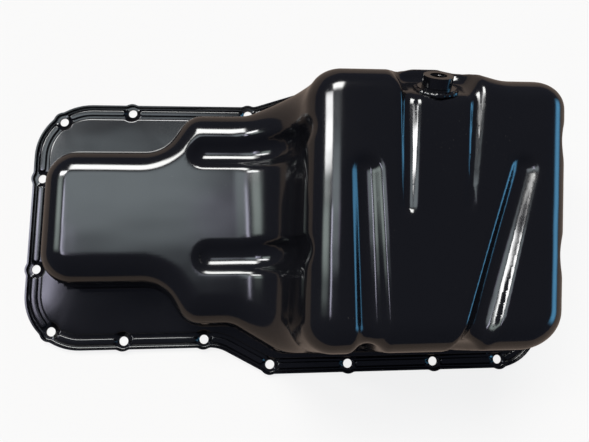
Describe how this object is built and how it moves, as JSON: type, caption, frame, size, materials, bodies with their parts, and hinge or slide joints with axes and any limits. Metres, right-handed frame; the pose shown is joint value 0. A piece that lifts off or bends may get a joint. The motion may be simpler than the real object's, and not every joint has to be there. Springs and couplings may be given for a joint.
{
  "type": "engine oil pan",
  "caption": "Deep-drawn sheet steel engine oil pan with a shallow tray, a deep sump with pressed grooves, a bolted gasket flange and a welded threaded drain boss.",
  "frame": {"origin": "on the gasket face, midway between the two front bolt holes", "axes": "+X from the front bolts over the shallow tray towards the deep sump, +Z out of the gasket face towards the sump floor"},
  "size_m": [0.4702, 0.2687, 0.13],
  "materials": {
    "black_paint": "high-gloss black stoving paint with light orange peel",
    "boss_paint": "gloss black paint over a turned steel boss"
  },
  "bodies": {
    "root": {"pan_shell": "black_paint", "drain_boss": "boss_paint"}
  },
  "joints": []
}
